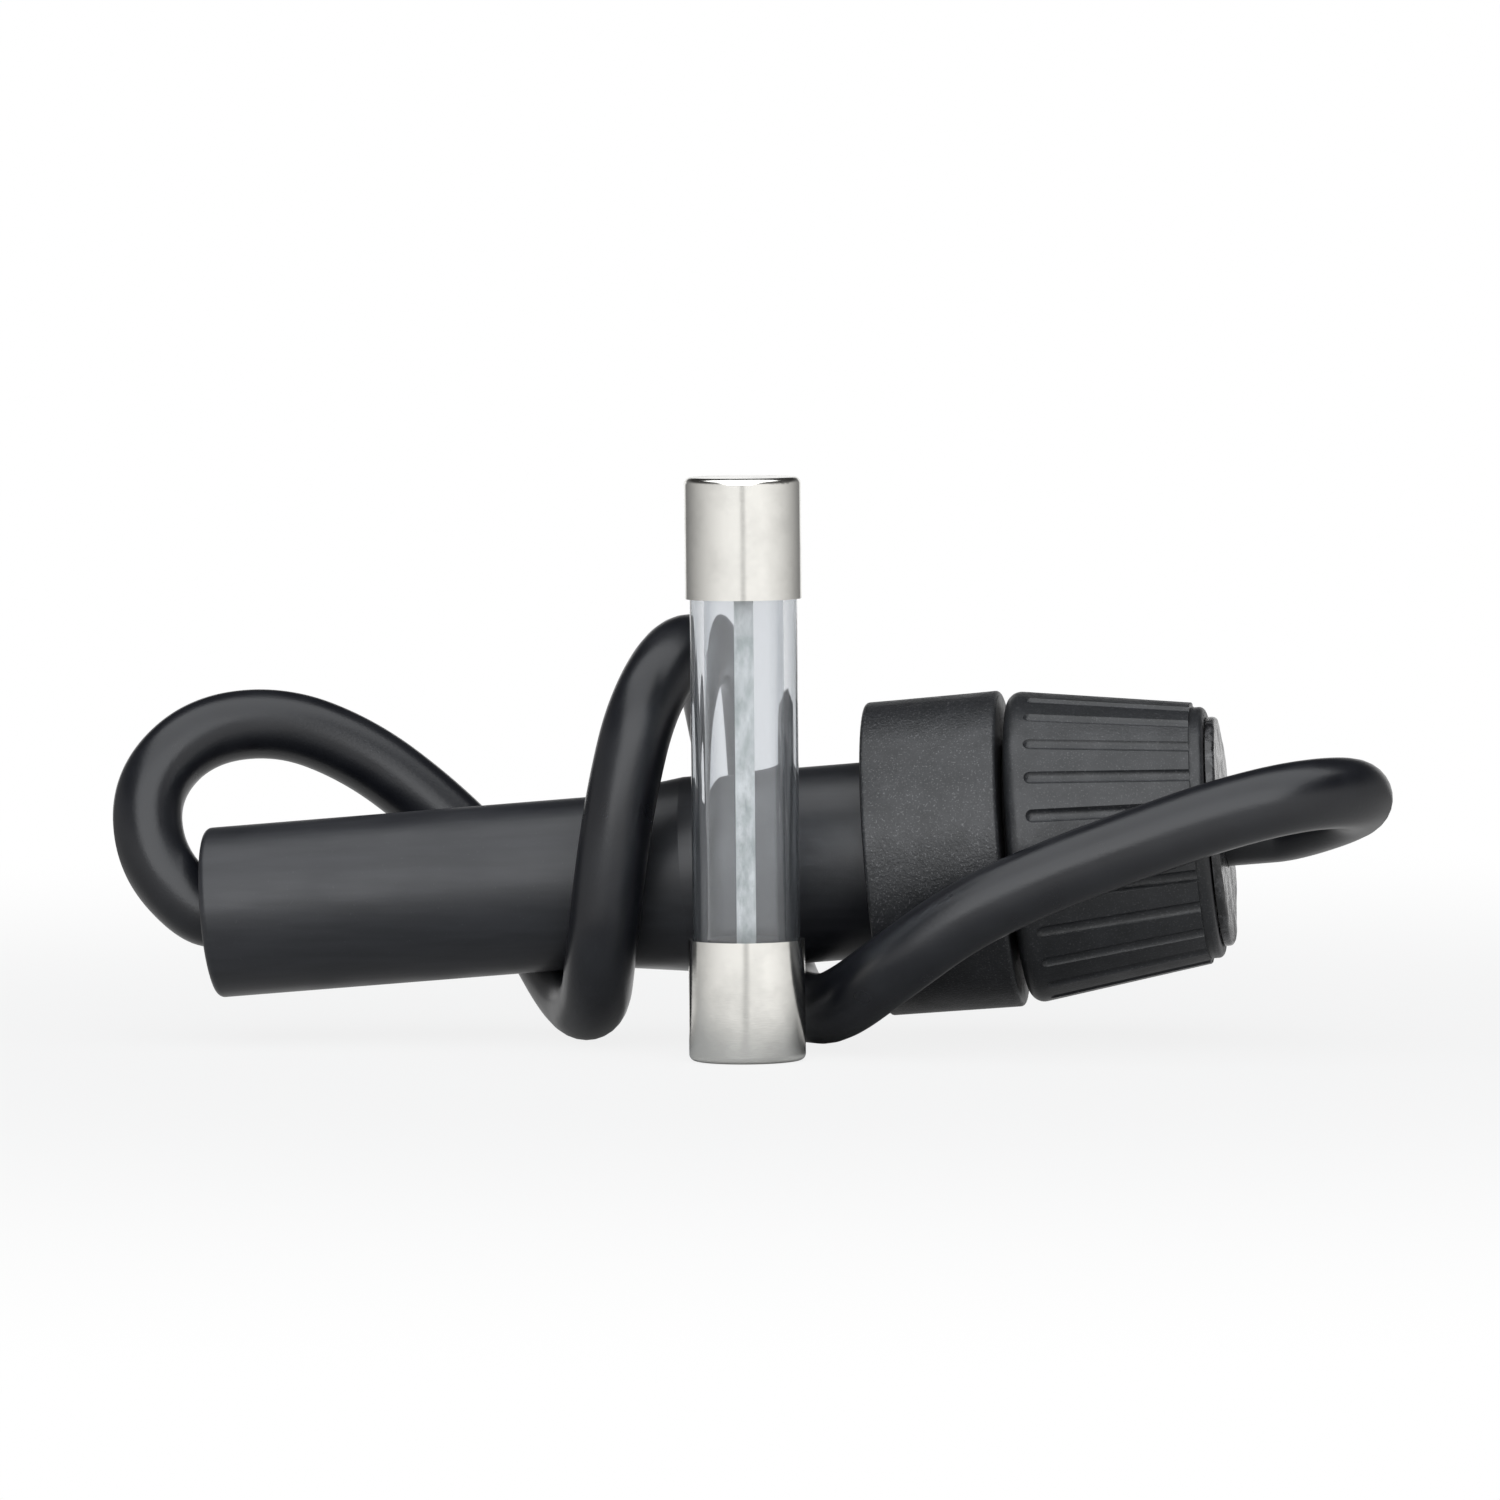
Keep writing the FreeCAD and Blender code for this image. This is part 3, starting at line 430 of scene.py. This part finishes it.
MATERIALS = {
    "sleeve_vinyl": sleeve_vinyl(),
    "soft_rubber": soft_rubber("soft_rubber"),
    "seal_rubber": soft_rubber("seal_rubber"),
    "moulded_plastic": grained_plastic(
        "moulded_plastic", grain_mm=0.028, patches_mm=0.025, glint_fleck=0.5),
    "knob_plastic": grained_plastic(
        "knob_plastic", grain_mm=0.014, patches_mm=0.012, glint_fleck=0.25),
    "plug_rubber": plug_rubber(),
    "lead_insulation": lead_insulation(),
    "contact_brass": plated_metal("contact_brass", BRASS, 0.24),
    "spring_steel": plated_metal("spring_steel", STEEL, 0.3),
    "washer_steel": plated_metal("washer_steel", STEEL, 0.32),
    "solder": plated_metal("solder", SOLDER, 0.3, marks=ALL_WAYS),
    "tinned_copper": stranded_copper(),
    "cap_nickel": plated_metal("cap_nickel", NICKEL, 0.13, marks_mm=0.0012, stain=0.86),
    "fuse_glass": clear_glass(),
    "element_zinc": zinc_strip(),
}


def dress_nodes():
    """Gives every node of the frame the finish of its material slot."""
    for part in frame["record"]["subparts"]:
        node = frame["nodes"][part["node"]]
        node.data.materials.clear()
        node.data.materials.append(MATERIALS[part["material_slot"]])


def lead_spline():
    """The lead's control points in metres, from its end in the sleeve to its end in the knob."""
    start = [on_axis(along) for along in LEAD_INSIDE_SLEEVE]
    end = [on_axis(along) for along in LEAD_INSIDE_KNOB]
    return start + [Vector(point) * MM for point in LEAD_POINTS] + end


def make_lead():
    """The insulated lead, one smooth free line through its loops."""
    points = lead_spline()
    curve = bpy.data.curves.new("lead", "CURVE")
    curve.dimensions = "3D"
    spline = curve.splines.new("NURBS")
    spline.points.add(len(points) - 1)
    for point, place in zip(spline.points, points):
        point.co = (*place, 1)
    spline.order_u = 3
    spline.use_endpoint_u = True
    spline.resolution_u = LEAD_SPLINE_STEPS
    curve.bevel_depth = LEAD_RADIUS
    curve.bevel_resolution = LEAD_ROUND_STEPS
    curve.use_fill_caps = True
    curve.materials.append(MATERIALS["lead_insulation"])
    lead = bpy.data.objects.new("lead", curve)
    bpy.context.scene.collection.objects.link(lead)
    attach(lead, "holder")
    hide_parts("lead_wire")


def plug_face_point(step, turn, outline):
    """A point of the plug's rough face in metres, pushed outwards by its lumps."""
    along, radius, out_along, out_radius = outline[step]
    sideways = Vector((0, math.sin(turn), 0)) + AXIS.cross(Vector((0, 1, 0))) * math.cos(turn)
    place = on_axis(along) + sideways * (radius * MM)
    outwards = AXIS * out_along + sideways * out_radius
    coarse = noise.fractal(place / (PLUG_LUMP * MM), *PLUG_FRACTAL)
    push = PLUG_SKIN + PLUG_LUMP_HEIGHT * max(0.0, PLUG_LUMP_SHARE + coarse)
    return place + outwards * (push * MM)


def make_plug_face():
    """The plug's torn, lumpy face, over its outer disc."""
    side = PLUG_FRONT - PLUG_ROUND - PLUG_BACK
    outline = [(PLUG_BACK + side * n / PLUG_SIDE_RINGS, PLUG_EDGE, 0, 1)
               for n in range(PLUG_SIDE_RINGS + 1)]
    for n in range(1, PLUG_ROUND_RINGS + 1):
        bend = math.radians(90 * n / PLUG_ROUND_RINGS)
        outline.append((PLUG_FRONT - PLUG_ROUND + PLUG_ROUND * math.sin(bend),
                        PLUG_EDGE - PLUG_ROUND + PLUG_ROUND * math.cos(bend),
                        math.sin(bend), math.cos(bend)))
    steps = round((PLUG_EDGE - PLUG_ROUND - PLUG_HOLE) / PLUG_GRID)
    outline += [(PLUG_FRONT, PLUG_EDGE - PLUG_ROUND - PLUG_GRID * n, 1, 0)
                for n in range(1, steps + 1)]
    around = round(2 * math.pi * PLUG_EDGE / PLUG_GRID)
    mesh = bpy.data.meshes.new("plug_face")
    shape = bmesh.new()
    rings = [[shape.verts.new(plug_face_point(step, 2 * math.pi * n / around, outline))
              for n in range(around)] for step in range(len(outline))]
    for ring, following in zip(rings, rings[1:]):
        for n in range(around):
            m = (n + 1) % around
            face = shape.faces.new((ring[n], ring[m], following[m], following[n]))
            face.smooth = True
    bmesh.ops.recalc_face_normals(shape, faces=shape.faces)
    shape.to_mesh(mesh)
    shape.free()
    mesh.materials.append(MATERIALS["plug_rubber"])
    piece = bpy.data.objects.new("plug_face", mesh)
    bpy.context.scene.collection.objects.link(piece)
    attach(piece, "knob_carrier")


def make_camera():
    azimuth, elevation = VIEW_AZIMUTH, VIEW_ELEVATION
    back = Vector((math.sin(azimuth) * math.cos(elevation),
                   -math.cos(azimuth) * math.cos(elevation), math.sin(elevation)))
    right = Vector((math.cos(azimuth), math.sin(azimuth), 0))
    up = back.cross(right)
    right_rolled = right * math.cos(VIEW_ROLL) - up * math.sin(VIEW_ROLL)
    up_rolled = up * math.cos(VIEW_ROLL) + right * math.sin(VIEW_ROLL)
    data = bpy.data.cameras.new("camera")
    data.sensor_width = SENSOR_WIDTH
    data.lens = LENS
    data.clip_start = CLIP_START
    data.clip_end = CLIP_END
    camera = bpy.data.objects.new("camera", data)
    turned = Matrix((right_rolled, up_rolled, back)).transposed().to_4x4()
    camera.matrix_world = Matrix.Translation(VIEW_TARGET + back * VIEW_DISTANCE) @ turned
    bpy.context.scene.collection.objects.link(camera)
    bpy.context.scene.camera = camera


def make_floor():
    """A pale floor that keeps the object's shadow, fades to white far off and carries the
    reflection of the panels round the object, and a strip under the object's back that glows in
    reflections inside its shadow: a painted reflection."""
    mesh = bpy.data.meshes.new("floor")
    half = FLOOR_SIZE / 2
    corners = [(-half, -half, FLOOR_HEIGHT), (half, -half, FLOOR_HEIGHT),
               (half, half, FLOOR_HEIGHT), (-half, half, FLOOR_HEIGHT)]
    mesh.from_pydata(corners, [], [(0, 1, 2, 3)])
    floor = bpy.data.objects.new("floor", mesh)
    bpy.context.scene.collection.objects.link(floor)
    s = Shader("floor", FLOOR_COLOR, FLOOR_ROUGHNESS, specular=FLOOR_SPECULAR)
    white = s.node("ShaderNodeEmission", {"Color": (1, 1, 1, 1)})
    place = s.place()
    distance = s.node("ShaderNodeVectorMath", {0: place}, operation="LENGTH").outputs["Value"]
    away = s.node("ShaderNodeVectorMath", {0: place}, operation="NORMALIZE").outputs["Vector"]
    fade = s.spread(distance, *FLOOR_FADE, *FLOOR_WHITE, shape="SMOOTHSTEP")
    seen_white = s.combine(s.seen_directly(), fade, "MULTIPLY")
    # The rim strip glows in reflections under the object's back, where its shadow lies: painted
    # reflection.
    rim_glow = s.combine(s.spread(s.dot(place, FRONT), *FLOOR_RIM),
                    s.spread(distance, *FLOOR_RIM_FADE, 1, 0), "MULTIPLY")
    sheen = s.combine(s.spread(distance, *FLOOR_SHEEN_FADE, shape="SMOOTHSTEP"), rim_glow, "MAXIMUM")
    glossy = s.node("ShaderNodeLightPath").outputs["Is Glossy Ray"]
    mirrored = s.combine(glossy, sheen, "MULTIPLY")
    level = s.combine(s.combine(s.panels(away), s.card(away), "MAXIMUM"),
                      s.combine(rim_glow, FLOOR_RIM_GLOW, "MULTIPLY"), "MAXIMUM")
    s.links.new(s.spread(s.seen_directly(), 0, 1, level, 1), white.inputs["Strength"])
    mixed = s.node("ShaderNodeMixShader", {
        "Fac": s.combine(seen_white, mirrored, "MAXIMUM"),
        1: s.surface.outputs["BSDF"], 2: white.outputs["Emission"]})
    s.links.new(mixed.outputs["Shader"], s.nodes["Material Output"].inputs["Surface"])
    mesh.materials.append(s.material)


def make_softbox(name, size, place, tilt, radiance):
    data = bpy.data.lights.new(name, "AREA")
    data.shape = "RECTANGLE"
    data.size, data.size_y = size
    data.energy = radiance * math.pi * size[0] * size[1]
    data.color = SOFTBOX_COLOR
    lamp = bpy.data.objects.new(name, data)
    lamp.location = place
    lamp.rotation_euler = (math.radians(tilt), 0, 0)
    bpy.context.scene.collection.objects.link(lamp)


def make_world():
    """White where it is seen; for light and gloss, the pale panels and the card behind."""
    world = bpy.data.worlds.new("studio")
    bpy.context.scene.world = world
    tree = NodeTree(world)
    direction = tree.node("ShaderNodeTexCoord").outputs["Generated"]
    height = tree.dot(direction, (0, 0, 1))
    below_top = tree.spread(height, *PANEL_TOP, 1, ABOVE_SHARE, shape="SMOOTHSTEP")
    below_card = tree.spread(height, *CARD_TOP, 1, 0, shape="SMOOTHSTEP")
    level = tree.combine(tree.combine(tree.panels(direction), below_top, "MULTIPLY"),
                         tree.combine(tree.card(direction), below_card, "MULTIPLY"), "MAXIMUM")
    shown = tree.combine(level, tree.seen_directly(), "MAXIMUM")
    tree.links.new(shown, tree.nodes["Background"].inputs["Color"])


bpy.context.scene.view_settings.view_transform = "Standard"
dress_nodes()
make_lead()
make_plug_face()
make_camera()
make_floor()
for softbox in SOFTBOXES:
    make_softbox(*softbox)
make_world()
